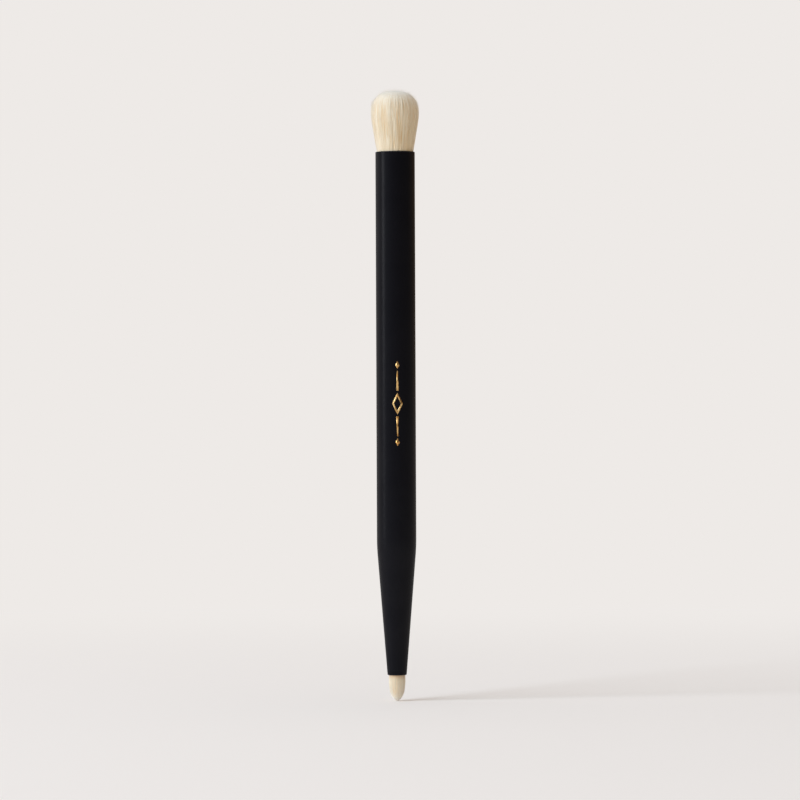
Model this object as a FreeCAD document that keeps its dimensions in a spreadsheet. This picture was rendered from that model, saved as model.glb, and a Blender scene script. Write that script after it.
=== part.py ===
"""Double-ended eyeshadow brush: a drawn barrel on a wooden core, with a bound tuft of fibres at each end.

The brush stands on its small tip: the tip is the origin, the axis is Z and the large tuft is on top.
Every piece is round, so each one is a half outline turned about the axis.
"""
import FreeCAD, Part
import math
import os
from dataclasses import dataclass

import Sketcher

# Driving sizes in millimetres, each one set by itself
SIZES = {
    "barrel_diameter": 8.3,
    "barrel_wall": 0.25,
    "straight_length": 83.1,
    "taper_length": 27.05,
    "shoulder_rounding": 40.0,
    "mouth_lip_rounding": 0.1,
    "nose_diameter": 4.04,
    "nose_wall": 0.3,
    "nose_lip_rounding": 0.18,
    "fit_clearance": 0.03,
    "cup_wall": 0.22,
    "crimp_width": 0.9,
    "crimp_depth": 0.2,
    "thread_diameter": 0.3,
    "thread_bite": 0.15,
    "blending_recess": 2.5,
    "blending_cup_length": 18.0,
    "blending_spigot_length": 7.0,
    "blending_crimp_offset": 3.5,
    "blending_plug_thickness": 2.0,
    "blending_glue_gap": 0.35,
    "blending_binding_offset": 1.0,
    "blending_binding_height": 1.5,
    "blending_plug_collar": 1.0,
    "blending_free_length": 13.85,
    "blending_flare": 1.49,
    "blending_belly_height": 7.4,
    "blending_belly_rounding": 6.0,
    "blending_crown_inset": 0.56,
    "blending_crown_drop": 1.55,
    "blending_crown_rounding": 2.2,
    "smudger_recess": 1.2,
    "smudger_cup_length": 14.0,
    "smudger_spigot_length": 5.0,
    "smudger_crimp_offset": 2.5,
    "smudger_plug_thickness": 1.5,
    "smudger_binding_offset": 0.8,
    "smudger_binding_height": 1.2,
    "smudger_plug_collar": 0.8,
    "smudger_free_length": 5.48,
    "smudger_swell": 0.12,
    "smudger_swell_drop": 0.7,
    "smudger_side_inset": 0.09,
    "smudger_side_height": 2.68,
    "smudger_tip_diameter": 1.44,
    "smudger_tip_height": 0.28,
}

AXIS = "0"
FLOOR = "0"

# Heights of the barrel's ends and shoulder, and its radii
NOSE_Z = "Sizes.smudger_free_length"
SHOULDER_Z = f"({NOSE_Z} + Sizes.taper_length)"
MOUTH_Z = f"({SHOULDER_Z} + Sizes.straight_length)"
BARREL_R = "Sizes.barrel_diameter / 2"
BORE_R = f"({BARREL_R} - Sizes.barrel_wall)"
NOSE_R = "Sizes.nose_diameter / 2"
NOSE_BORE_R = f"({NOSE_R} - Sizes.nose_wall)"

# Radii of the upper head, then its heights from the core's step up to the tuft's crown
BLENDING_CUP_R = f"({BORE_R} - Sizes.fit_clearance)"
BLENDING_CUP_BORE_R = f"({BLENDING_CUP_R} - Sizes.cup_wall)"
BLENDING_SPIGOT_R = f"({BLENDING_CUP_BORE_R} - Sizes.fit_clearance)"
BLENDING_ROOT_R = f"({BLENDING_CUP_BORE_R} - Sizes.blending_glue_gap)"
BLENDING_RIM_Z = f"({MOUTH_Z} - Sizes.blending_recess)"
BLENDING_SEAT_Z = f"({BLENDING_RIM_Z} - Sizes.blending_cup_length)"
BLENDING_CRIMP_Z = f"({BLENDING_SEAT_Z} + Sizes.blending_crimp_offset)"
BLENDING_SPIGOT_Z = f"({BLENDING_SEAT_Z} + Sizes.blending_spigot_length)"
BLENDING_ROOT_Z = f"({BLENDING_SPIGOT_Z} + Sizes.blending_plug_thickness)"
BLENDING_THREAD_LOW_Z = f"({BLENDING_ROOT_Z} + Sizes.blending_binding_offset)"
BLENDING_THREAD_HIGH_Z = f"({BLENDING_THREAD_LOW_Z} + Sizes.blending_binding_height)"
BLENDING_COLLAR_Z = f"({BLENDING_THREAD_HIGH_Z} + Sizes.blending_plug_collar)"
BLENDING_MOUTH_R = f"({BORE_R} - Sizes.fit_clearance)"
BLENDING_BELLY_R = f"({BLENDING_MOUTH_R} + Sizes.blending_flare)"
BLENDING_BELLY_Z = f"({MOUTH_Z} + Sizes.blending_belly_height)"
BLENDING_TOP_Z = f"({MOUTH_Z} + Sizes.blending_free_length)"
BLENDING_CROWN_R = f"({BLENDING_BELLY_R} - Sizes.blending_crown_inset)"
BLENDING_CROWN_Z = f"({BLENDING_TOP_Z} - Sizes.blending_crown_drop)"

# Heights of the lower head, from the core's step down to the tuft's tip
SMUDGER_RIM_Z = f"({NOSE_Z} + Sizes.smudger_recess)"
SMUDGER_SEAT_Z = f"({SMUDGER_RIM_Z} + Sizes.smudger_cup_length)"
SMUDGER_CRIMP_Z = f"({SMUDGER_SEAT_Z} - Sizes.smudger_crimp_offset)"
SMUDGER_SPIGOT_Z = f"({SMUDGER_SEAT_Z} - Sizes.smudger_spigot_length)"
SMUDGER_ROOT_Z = f"({SMUDGER_SPIGOT_Z} - Sizes.smudger_plug_thickness)"
SMUDGER_THREAD_HIGH_Z = f"({SMUDGER_ROOT_Z} - Sizes.smudger_binding_offset)"
SMUDGER_THREAD_LOW_Z = f"({SMUDGER_THREAD_HIGH_Z} - Sizes.smudger_binding_height)"
SMUDGER_COLLAR_Z = f"({SMUDGER_THREAD_LOW_Z} - Sizes.smudger_plug_collar)"
SMUDGER_MOUTH_R = f"({NOSE_BORE_R} - Sizes.fit_clearance)"
SMUDGER_SWELL_R = f"({SMUDGER_MOUTH_R} + Sizes.smudger_swell)"
SMUDGER_SWELL_Z = f"({NOSE_Z} - Sizes.smudger_swell_drop)"
SMUDGER_SIDE_R = f"({SMUDGER_SWELL_R} - Sizes.smudger_side_inset)"
SMUDGER_SIDE_Z = "Sizes.smudger_side_height"
SMUDGER_TIP_R = "Sizes.smudger_tip_diameter / 2"
SMUDGER_TIP_Z = "Sizes.smudger_tip_height"

# How far the root thread bites into the fibres and stands proud of them
THREAD_BITE = "Sizes.thread_bite"
THREAD_PROUD = "(Sizes.thread_diameter - Sizes.thread_bite)"

# Kinds of edge in a half outline: straight, a cap round a centre on the axis, and an arc that ends
# in line with the straight edge after it
LINE = "line"
CAP = "cap"
OGIVE = "ogive"

# Names that a sketch gives to its origin, its axes and the ends and centre of an edge
ORIGIN = -1
UPRIGHT = -2
START = 1
END = 2
CENTRE = 3

FULL_TURN = 360
SAME_PLACE = 1e-6


@dataclass
class Corner:
    """A corner of a half outline, in expressions of the sheet's sizes."""

    radius: str
    height: str
    rounding: str = None
    next_edge: str = LINE


def taper_bore(height):
    """Radius of the barrel's tapered bore at a height."""
    slope = f"({BORE_R} - {NOSE_BORE_R}) / Sizes.taper_length"
    return f"({NOSE_BORE_R} + ({height} - {NOSE_Z}) * {slope})"


def smudger_cup_radius(height):
    """Outside radius of the tapered cup in the nose."""
    return f"({taper_bore(height)} - Sizes.fit_clearance)"


def smudger_cup_bore(height):
    """Inside radius of the tapered cup in the nose."""
    return f"({smudger_cup_radius(height)} - Sizes.cup_wall)"


def smudger_spigot(height):
    """Radius of the core's lower spigot, which fills the tapered cup."""
    return f"({smudger_cup_bore(height)} - Sizes.fit_clearance)"


def constant(radius):
    """A radius that is the same at every height."""
    return lambda height: radius


def crimp(radius_at, middle):
    """Corners of a crimp, a V pressed in all round, from its lower edge to its upper edge."""
    low = f"({middle} - Sizes.crimp_width / 2)"
    high = f"({middle} + Sizes.crimp_width / 2)"
    return [
        Corner(radius_at(low), low),
        Corner(f"({radius_at(middle)} - Sizes.crimp_depth)", middle),
        Corner(radius_at(high), high),
    ]


def make_sheet(doc):
    """Spreadsheet of the driving sizes, one alias each."""
    sheet = doc.addObject("Spreadsheet::Sheet", "Sizes")
    for row, (name, value) in enumerate(SIZES.items(), start=1):
        sheet.set(f"A{row}", name)
        sheet.set(f"B{row}", str(value))
        sheet.setAlias(f"B{row}", name)
    doc.recompute()
    return sheet


class HalfOutline:
    """A closed half outline in a body's XZ plane, drawn anticlockwise and bound to the sheet."""

    def __init__(self, body, sheet, corners):
        self.sheet = sheet
        self.corners = corners
        self.points = [self.place(corner) for corner in corners]
        self.sketch = body.newObject("Sketcher::SketchObject", f"{body.Name}_outline")
        plane = next(item for item in body.Origin.OriginFeatures if item.Role == "XZ_Plane")
        self.sketch.AttachmentSupport = [(plane, "")]
        self.sketch.MapMode = "FlatFace"
        self.edges = [self.draw_edge(index) for index in range(len(corners))]
        for index, corner in enumerate(corners):
            if corner.rounding:
                self.bind_rounded_corner(index)
            else:
                self.bind_sharp_corner(index)
            if corner.next_edge == CAP:
                self.hold("PointOnObject", self.edges[index], CENTRE, UPRIGHT)

    def value(self, expression):
        """Present value of an expression of sizes."""
        return float(self.sheet.evalExpression(expression))

    def place(self, corner):
        """Present place of a corner in the sketch."""
        return FreeCAD.Vector(self.value(corner.radius), self.value(corner.height), 0)

    def hold(self, *constraint):
        """Add one constraint and return its number."""
        return self.sketch.addConstraint(Sketcher.Constraint(*constraint))

    def size(self, expression, kind, *ends):
        """Add one dimension and bind it to an expression of sizes."""
        number = self.hold(kind, *ends, self.value(expression))
        self.sketch.setExpression(f"Constraints[{number}]", expression)

    def neighbours(self, index):
        """Corners before and after this one, going round."""
        return self.points[index - 1], self.points[(index + 1) % len(self.points)]

    def setback(self, index):
        """Distance from a corner to the ends of its rounding."""
        rounding = self.corners[index].rounding
        if not rounding:
            return 0.0
        before, after = self.neighbours(index)
        here = self.points[index]
        return self.value(rounding) / math.tan((before - here).getAngle(after - here) / 2)

    def draw_edge(self, index):
        """Edge from a corner to the next, shortened where a corner is rounded."""
        after = (index + 1) % len(self.points)
        start = self.points[index]
        end = self.points[after]
        kind = self.corners[index].next_edge
        if kind == CAP:
            return self.draw_arc(self.cap_centre(start, end), start, end)
        if kind == OGIVE:
            return self.draw_arc(self.ogive_centre(index), start, end)
        along = (end - start).normalize()
        first = start + along * self.setback(index)
        last = end - along * self.setback(after)
        return self.sketch.addGeometry(Part.LineSegment(first, last), False)

    def draw_arc(self, centre, start, end):
        """Anticlockwise arc about a centre."""
        spokes = [start - centre, end - centre]
        angles = [math.atan2(spoke.y, spoke.x) for spoke in spokes]
        circle = Part.Circle(centre, FreeCAD.Vector(0, 0, 1), spokes[0].Length)
        return self.sketch.addGeometry(Part.ArcOfCircle(circle, *angles), False)

    @staticmethod
    def cap_centre(start, end):
        """Point of the axis as far from one corner as from the other."""
        height = (end.Length ** 2 - start.Length ** 2) / (2 * (end.y - start.y))
        return FreeCAD.Vector(0, height, 0)

    def ogive_centre(self, index):
        """Centre of the arc that ends in line with the edge after it."""
        start = self.points[index]
        end = self.points[index + 1]
        onward = (self.points[index + 2] - end).normalize()
        inward = FreeCAD.Vector(-onward.y, onward.x, 0)
        chord = start - end
        return end + inward * (chord.Length ** 2 / (2 * chord.dot(inward)))

    def bind_place(self, index, geometry):
        """Bind the start of a line, an arc or a point to its corner's radius and height."""
        corner = self.corners[index]
        if corner.radius == AXIS and corner.height == FLOOR:
            self.hold("Coincident", geometry, START, ORIGIN, START)
            return
        if corner.radius == AXIS:
            self.hold("PointOnObject", geometry, START, UPRIGHT)
        else:
            self.size(corner.radius, "DistanceX", ORIGIN, START, geometry, START)
        self.size(corner.height, "DistanceY", ORIGIN, START, geometry, START)

    def bind_sharp_corner(self, index):
        """Join the two edges at a corner, in line with each other after an ogive."""
        join = "Tangent" if self.corners[index - 1].next_edge == OGIVE else "Coincident"
        self.hold(join, self.edges[index - 1], END, self.edges[index], START)
        self.bind_place(index, self.edges[index])

    def bind_rounded_corner(self, index):
        """Join the two edges at a corner by an arc, and keep the corner as a point on both edges."""
        here = self.points[index]
        before, after = self.neighbours(index)
        first = here + (before - here).normalize() * self.setback(index)
        last = here + (after - here).normalize() * self.setback(index)
        travel = (here - before).normalize()
        inward = FreeCAD.Vector(-travel.y, travel.x, 0)
        rounding = self.corners[index].rounding
        arc = self.draw_arc(first + inward * self.value(rounding), first, last)
        self.hold("Tangent", self.edges[index - 1], END, arc, START)
        self.hold("Tangent", arc, END, self.edges[index], START)
        marker = self.sketch.addGeometry(Part.Point(here), True)
        self.hold("PointOnObject", marker, START, self.edges[index - 1])
        self.hold("PointOnObject", marker, START, self.edges[index])
        self.bind_place(index, marker)
        self.size(rounding, "Radius", arc)


def turn(doc, sheet, name, corners):
    """Body turned about the axis from a half outline."""
    body = doc.addObject("PartDesign::Body", name)
    body.Label = name
    outline = HalfOutline(body, sheet, corners)
    doc.recompute()
    turned = body.newObject("PartDesign::Revolution", f"{name}_turned")
    turned.Profile = outline.sketch
    turned.ReferenceAxis = (outline.sketch, ["V_Axis"])
    turned.Angle = FULL_TURN
    doc.recompute()
    return body


def round_edge(doc, sheet, body, radius, height, rounding):
    """Round the circular edge at a radius and a height, in expressions of sizes."""
    wanted_radius = float(sheet.evalExpression(radius))
    wanted_height = float(sheet.evalExpression(height))
    base = body.Tip
    names = []
    for number, edge in enumerate(base.Shape.Edges, start=1):
        if edge.Degenerated or not isinstance(edge.Curve, Part.Circle):
            continue
        off_radius = abs(edge.Curve.Radius - wanted_radius)
        off_height = abs(edge.Curve.Center.z - wanted_height)
        if max(off_radius, off_height) < SAME_PLACE:
            names.append(f"Edge{number}")
    fillet = body.newObject("PartDesign::Fillet", f"{body.Name}_rounding")
    fillet.Base = (base, names)
    fillet.setExpression("Radius", rounding)
    doc.recompute()


def make_barrel(doc, sheet):
    """Thin drawn tube: a straight run, a long soft shoulder and a taper down to the nose."""
    return turn(doc, sheet, "barrel", [
        Corner(NOSE_BORE_R, NOSE_Z),
        Corner(NOSE_R, NOSE_Z, "Sizes.nose_lip_rounding"),
        Corner(BARREL_R, SHOULDER_Z, "Sizes.shoulder_rounding"),
        Corner(BARREL_R, MOUTH_Z, "Sizes.mouth_lip_rounding"),
        Corner(BORE_R, MOUTH_Z),
        Corner(BORE_R, SHOULDER_Z),
    ])


def make_core(doc, sheet):
    """Wooden dowel that fills the barrel, with a grooved spigot at each end for the two cups."""
    return turn(doc, sheet, "core_dowel", [
        Corner(AXIS, SMUDGER_SPIGOT_Z),
        Corner(smudger_spigot(SMUDGER_SPIGOT_Z), SMUDGER_SPIGOT_Z),
        *crimp(smudger_spigot, SMUDGER_CRIMP_Z),
        Corner(smudger_spigot(SMUDGER_SEAT_Z), SMUDGER_SEAT_Z),
        Corner(smudger_cup_radius(SMUDGER_SEAT_Z), SMUDGER_SEAT_Z),
        Corner(BLENDING_CUP_R, SHOULDER_Z),
        Corner(BLENDING_CUP_R, BLENDING_SEAT_Z),
        Corner(BLENDING_SPIGOT_R, BLENDING_SEAT_Z),
        *crimp(constant(BLENDING_SPIGOT_R), BLENDING_CRIMP_Z),
        Corner(BLENDING_SPIGOT_R, BLENDING_SPIGOT_Z),
        Corner(AXIS, BLENDING_SPIGOT_Z),
    ])


def make_cup(doc, sheet, name, outside, inside, heights, crimp_height):
    """Thin sleeve between two heights, crimped once, whose radii are functions of the height."""
    low, high = heights
    return turn(doc, sheet, name, [
        Corner(outside(low), low),
        *crimp(outside, crimp_height),
        Corner(outside(high), high),
        Corner(inside(high), high),
        *reversed(crimp(inside, crimp_height)),
        Corner(inside(low), low),
    ])


def make_blending_cup(doc, sheet):
    """Straight sleeve round the large tuft's root, seated on the core's upper step."""
    heights = (BLENDING_SEAT_Z, BLENDING_RIM_Z)
    outside = constant(BLENDING_CUP_R)
    inside = constant(BLENDING_CUP_BORE_R)
    return make_cup(doc, sheet, "blending_cup", outside, inside, heights, BLENDING_CRIMP_Z)


def make_smudger_cup(doc, sheet):
    """Tapered sleeve round the small tuft's root, seated under the core's lower step."""
    heights = (SMUDGER_RIM_Z, SMUDGER_SEAT_Z)
    return make_cup(
        doc, sheet, "smudger_cup", smudger_cup_radius, smudger_cup_bore, heights, SMUDGER_CRIMP_Z
    )


def make_binding(doc, sheet, name, root_radius, low, high):
    """Band of thread tied round a root: it bites into the fibres and stands proud of them."""
    return turn(doc, sheet, name, [
        Corner(f"({root_radius} - {THREAD_BITE})", low),
        Corner(f"({root_radius} + {THREAD_PROUD})", low),
        Corner(f"({root_radius} + {THREAD_PROUD})", high),
        Corner(f"({root_radius} - {THREAD_BITE})", high),
    ])


def smudger_root_radius():
    """Radius of the small tuft's root, parallel from the cup's rim up to its end."""
    return f"({smudger_cup_bore(SMUDGER_RIM_Z)} - Sizes.fit_clearance)"


def make_blending_plug(doc, sheet):
    """Resin under and round the large tuft's bound root, up to a collar above the thread."""
    over_thread = f"({BLENDING_ROOT_R} + {THREAD_PROUD})"
    return turn(doc, sheet, "blending_root_plug", [
        Corner(AXIS, BLENDING_SPIGOT_Z),
        Corner(BLENDING_CUP_BORE_R, BLENDING_SPIGOT_Z),
        Corner(BLENDING_CUP_BORE_R, BLENDING_COLLAR_Z),
        Corner(BLENDING_ROOT_R, BLENDING_COLLAR_Z),
        Corner(BLENDING_ROOT_R, BLENDING_THREAD_HIGH_Z),
        Corner(over_thread, BLENDING_THREAD_HIGH_Z),
        Corner(over_thread, BLENDING_THREAD_LOW_Z),
        Corner(BLENDING_ROOT_R, BLENDING_THREAD_LOW_Z),
        Corner(BLENDING_ROOT_R, BLENDING_ROOT_Z),
        Corner(AXIS, BLENDING_ROOT_Z),
    ])


def make_smudger_plug(doc, sheet):
    """Resin above and round the small tuft's bound root, down to a collar below the thread."""
    root_radius = smudger_root_radius()
    over_thread = f"({root_radius} + {THREAD_PROUD})"
    return turn(doc, sheet, "smudger_root_plug", [
        Corner(root_radius, SMUDGER_COLLAR_Z),
        Corner(smudger_cup_bore(SMUDGER_COLLAR_Z), SMUDGER_COLLAR_Z),
        Corner(smudger_cup_bore(SMUDGER_SPIGOT_Z), SMUDGER_SPIGOT_Z),
        Corner(AXIS, SMUDGER_SPIGOT_Z),
        Corner(AXIS, SMUDGER_ROOT_Z),
        Corner(root_radius, SMUDGER_ROOT_Z),
        Corner(root_radius, SMUDGER_THREAD_HIGH_Z),
        Corner(over_thread, SMUDGER_THREAD_HIGH_Z),
        Corner(over_thread, SMUDGER_THREAD_LOW_Z),
        Corner(root_radius, SMUDGER_THREAD_LOW_Z),
    ])


def make_blending_tuft(doc, sheet):
    """Large tuft: bound root, swelling to fill the mouth, flaring to a belly under a low dome."""
    waist = f"({BLENDING_ROOT_R} - {THREAD_BITE})"
    body = turn(doc, sheet, "blending_tuft", [
        Corner(AXIS, BLENDING_ROOT_Z),
        Corner(BLENDING_ROOT_R, BLENDING_ROOT_Z),
        Corner(BLENDING_ROOT_R, BLENDING_THREAD_LOW_Z),
        Corner(waist, BLENDING_THREAD_LOW_Z),
        Corner(waist, BLENDING_THREAD_HIGH_Z),
        Corner(BLENDING_ROOT_R, BLENDING_THREAD_HIGH_Z),
        Corner(BLENDING_ROOT_R, BLENDING_COLLAR_Z),
        Corner(f"({BLENDING_CUP_BORE_R} - Sizes.fit_clearance)", BLENDING_RIM_Z),
        Corner(BLENDING_MOUTH_R, MOUTH_Z),
        Corner(BLENDING_BELLY_R, BLENDING_BELLY_Z, "Sizes.blending_belly_rounding"),
        Corner(BLENDING_CROWN_R, BLENDING_CROWN_Z, next_edge=CAP),
        Corner(AXIS, BLENDING_TOP_Z),
    ])
    crown_rounding = "Sizes.blending_crown_rounding"
    round_edge(doc, sheet, body, BLENDING_CROWN_R, BLENDING_CROWN_Z, crown_rounding)
    return body


def make_smudger_tuft(doc, sheet):
    """Small tuft: bullet-shaped, slightly swollen below the nose, with a bound root in its cup."""
    root_radius = smudger_root_radius()
    waist = f"({root_radius} - {THREAD_BITE})"
    return turn(doc, sheet, "smudger_tuft", [
        Corner(AXIS, FLOOR, next_edge=CAP),
        Corner(SMUDGER_TIP_R, SMUDGER_TIP_Z, next_edge=OGIVE),
        Corner(SMUDGER_SIDE_R, SMUDGER_SIDE_Z),
        Corner(SMUDGER_SWELL_R, SMUDGER_SWELL_Z),
        Corner(SMUDGER_MOUTH_R, NOSE_Z),
        Corner(root_radius, SMUDGER_RIM_Z),
        Corner(root_radius, SMUDGER_THREAD_LOW_Z),
        Corner(waist, SMUDGER_THREAD_LOW_Z),
        Corner(waist, SMUDGER_THREAD_HIGH_Z),
        Corner(root_radius, SMUDGER_THREAD_HIGH_Z),
        Corner(root_radius, SMUDGER_ROOT_Z),
        Corner(AXIS, SMUDGER_ROOT_Z),
    ])


def check_document(doc, bodies):
    """Stop if any object failed or any body is empty or invalid."""
    for item in doc.Objects:
        if "Invalid" in item.State or "Error" in item.State:
            raise RuntimeError(f"{item.Name} failed: {item.State}")
    for body in bodies:
        shape = body.Shape
        if shape.isNull() or not shape.isValid() or len(shape.Solids) != 1:
            raise RuntimeError(f"{body.Label} is not one valid solid")


def main():
    """Build every piece and write one STEP file for each."""
    doc = FreeCAD.newDocument("EyeshadowBrush")
    sheet = make_sheet(doc)
    bodies = [
        make_barrel(doc, sheet),
        make_core(doc, sheet),
        make_blending_cup(doc, sheet),
        make_binding(
            doc, sheet, "blending_root_binding",
            BLENDING_ROOT_R, BLENDING_THREAD_LOW_Z, BLENDING_THREAD_HIGH_Z,
        ),
        make_blending_plug(doc, sheet),
        make_blending_tuft(doc, sheet),
        make_smudger_cup(doc, sheet),
        make_binding(
            doc, sheet, "smudger_root_binding",
            smudger_root_radius(), SMUDGER_THREAD_LOW_Z, SMUDGER_THREAD_HIGH_Z,
        ),
        make_smudger_plug(doc, sheet),
        make_smudger_tuft(doc, sheet),
    ]
    doc.recompute()
    check_document(doc, bodies)
    os.makedirs("parts", exist_ok=True)
    for body in bodies:
        body.Shape.exportStep(f"parts/{body.Label}.step")
        print(f"{body.Label}: {body.Shape.Volume:.2f} cubic millimetres")


main()
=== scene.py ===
"""Looks of a double-ended eyeshadow brush: a lacquered barrel, a fibre tuft at each end and a plain studio.

Lengths are in metres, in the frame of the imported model: the small tip stands on the origin and Z is the axis.
"""

import logging
import math
from dataclasses import dataclass
from enum import Enum
from typing import Union

import bmesh
import bpy
import numpy as np
from mathutils import Matrix, Vector


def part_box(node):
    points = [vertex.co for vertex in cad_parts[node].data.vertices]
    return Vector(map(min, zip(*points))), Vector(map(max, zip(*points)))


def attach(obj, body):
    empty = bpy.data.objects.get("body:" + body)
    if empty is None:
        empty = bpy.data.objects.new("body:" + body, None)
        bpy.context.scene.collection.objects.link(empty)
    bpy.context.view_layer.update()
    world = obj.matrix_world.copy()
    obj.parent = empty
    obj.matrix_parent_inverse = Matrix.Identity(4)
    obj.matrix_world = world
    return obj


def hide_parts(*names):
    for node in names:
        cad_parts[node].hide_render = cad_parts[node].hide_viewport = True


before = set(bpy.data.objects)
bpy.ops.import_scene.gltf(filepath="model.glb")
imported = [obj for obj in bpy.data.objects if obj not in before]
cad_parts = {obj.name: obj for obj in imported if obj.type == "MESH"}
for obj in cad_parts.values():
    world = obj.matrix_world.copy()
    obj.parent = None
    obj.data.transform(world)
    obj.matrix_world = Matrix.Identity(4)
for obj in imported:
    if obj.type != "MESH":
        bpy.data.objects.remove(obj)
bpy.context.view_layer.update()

MM = 0.001
FULL_TURN = 2 * math.pi
QUARTER_TURN = math.pi / 2
ORIGIN = (0.0, 0.0, 0.0)
AXIS = (0.0, 0.0, 1.0)
BODY = "root"
BAKE_MAP = "OFBake"
TONE_STRIPS = 32
THREAD_WIDTH = 0.3 * MM
SEAM_WELD = 0.001 * MM
TIP_WELD = 0.0001 * MM
RING_REACH = 0.004 * MM
CUT_SNAP = 0.0005 * MM
NOISE_RANGE = (0.3, 0.7)
WHOLE_RANGE = (0.0, 1.0)

log = logging.getLogger("brush")

Triple = tuple[float, float, float]
Colour = Triple
Range = tuple[float, float]
BMesh = bmesh.types.BMesh
Material = bpy.types.Material
Mesh = bpy.types.Mesh
Node = bpy.types.Node
Socket = bpy.types.NodeSocket
Given = Union[Socket, float, Colour]
Inputs = dict[Union[str, int], Given]


class Slot(Enum):
    """Names of material slots for the new pieces' finishes; no piece here takes its finish from them."""

    BARREL = "barrel_black"
    FOIL = "foil_gold"
    FIBRE = "tuft_fibre"
    THREAD = "binding_thread"


class Pointing(Enum):
    """The way a tuft points along the axis."""

    UP = 1
    DOWN = -1


class Effect(Enum):
    """Shader node groups that several finishes share, by name."""

    SPECKLE = "speckle"
    DRAWN_GRAIN = "drawn_grain"
    FIBRE_TONE = "fibre_tone"


class Kind(Enum):
    """Kinds of socket that a shared effect has."""

    NUMBER = "NodeSocketFloat"
    TINT = "NodeSocketColor"


def srgb(red: int, green: int, blue: int) -> Colour:
    """Scene-linear colour of a display colour.

    Args:
        red: Display red from 0 to 255.
        green: Display green from 0 to 255.
        blue: Display blue from 0 to 255.

    Returns:
        The three linear channels.
    """
    def channel(level: int) -> float:
        """Linear value of one display level."""
        share = level / 255
        return share / 12.92 if share <= 0.04045 else ((share + 0.055) / 1.055) ** 2.4

    return channel(red), channel(green), channel(blue)


def low(node: str) -> float:
    """Lowest height of a CAD node."""
    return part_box(node)[0][2]


def high(node: str) -> float:
    """Greatest height of a CAD node."""
    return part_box(node)[1][2]


def girth(node: str) -> float:
    """Greatest radius of a CAD node about the axis."""
    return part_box(node)[1][0]


class NodeSheet:
    """A node tree being filled in, with short ways to add and join its nodes."""

    def __init__(self, tree: bpy.types.NodeTree) -> None:
        """Take the tree that is filled in."""
        self.tree = tree

    def put(self, node: Node, inputs: Inputs) -> None:
        """Fill in a node's inputs.

        Args:
            node: The node.
            inputs: A socket to join or a plain value to set, for each input by name or number.
        """
        for key, value in inputs.items():
            target = node.inputs[key]
            if isinstance(value, Socket):
                self.tree.links.new(value, target)
            elif target.type == "RGBA":
                target.default_value = (*value, 1.0)
            else:
                target.default_value = value

    def add(self, kind: str, inputs: Inputs | None = None, **settings: object) -> Node:
        """Add a node.

        Args:
            kind: The node's type name after the ShaderNode prefix, or the whole name of a group's end node.
            inputs: What its inputs get.
            settings: Properties to set on the node.

        Returns:
            The new node.
        """
        name = kind if kind.startswith("NodeGroup") else f"ShaderNode{kind}"
        node = self.tree.nodes.new(name)
        for key, value in settings.items():
            setattr(node, key, value)
        self.put(node, inputs or {})
        return node

    def effect(self, effect: Effect, inputs: Inputs) -> bpy.types.NodeOutputs:
        """Outputs of a shared effect, placed here with its own values."""
        return self.add("Group", inputs, node_tree=bpy.data.node_groups[effect.value]).outputs

    def speckle(self, fine: float, mottle: float) -> bpy.types.NodeOutputs:
        """Fine speckle and slow mottle, each at its own scale."""
        return self.effect(Effect.SPECKLE, {"Fine Scale": fine, "Mottle Scale": mottle})

    def calc(self, operation: str, first: Given, second: Given = 0.0) -> Socket:
        """Result of a Math node's operation on sockets or numbers."""
        return self.add("Math", {0: first, 1: second}, operation=operation).outputs[0]

    def blend(self, share: Given, first: Given, second: Given) -> Socket:
        """Mix of two colours, with a share of 0 for the first and 1 for the second."""
        return self.add("Mix", {"Factor": share, 6: first, 7: second}, data_type="RGBA").outputs[2]

    def span(self, value: Socket, read: Range, give: Range = WHOLE_RANGE) -> Socket:
        """A value spread smoothly from one range to another.

        Args:
            value: Socket that is read.
            read: Values that give the two ends of the result.
            give: The two ends of the result.

        Returns:
            The result's socket.
        """
        return self.add("MapRange", {
            "Value": value, "From Min": read[0], "From Max": read[1], "To Min": give[0], "To Max": give[1],
        }, interpolation_type="SMOOTHSTEP").outputs[0]

    def place(self) -> Socket:
        """Place of the shaded point in the piece's own coordinates."""
        return self.add("TexCoord").outputs["Object"]

    def split(self, vector: Socket) -> tuple[Socket, ...]:
        """The three parts of a vector."""
        return tuple(self.add("SeparateXYZ", {0: vector}).outputs)

    def join(self, *parts: Socket) -> Socket:
        """A vector of two or three parts."""
        return self.add("CombineXYZ", dict(enumerate(parts))).outputs[0]

    def noise(self, vector: Socket, scale: Given, detail: float = 2.0) -> Socket:
        """Grey noise at a place, with a scale in cycles per metre and a number of finer layers."""
        return self.add("TexNoise", {"Vector": vector, "Scale": scale, "Detail": detail}).outputs[0]

    def bump(self, height: Socket, depth: float, strength: float = 1.0) -> Socket:
        """Normal of a relief from 0 to 1, with its depth in metres and the share of it that shows."""
        return self.add("Bump", {"Height": height, "Distance": depth, "Strength": strength}).outputs[0]

    def show_mix(self, share: Given, first: Node, second: Node) -> None:
        """Send a mix of two shaders to the material's output, with a share of 0 for the first."""
        mix = self.add("MixShader", {0: share, 1: first.outputs[0], 2: second.outputs[0]})
        self.put(self.tree.nodes["Material Output"], {"Surface": mix.outputs[0]})


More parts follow.
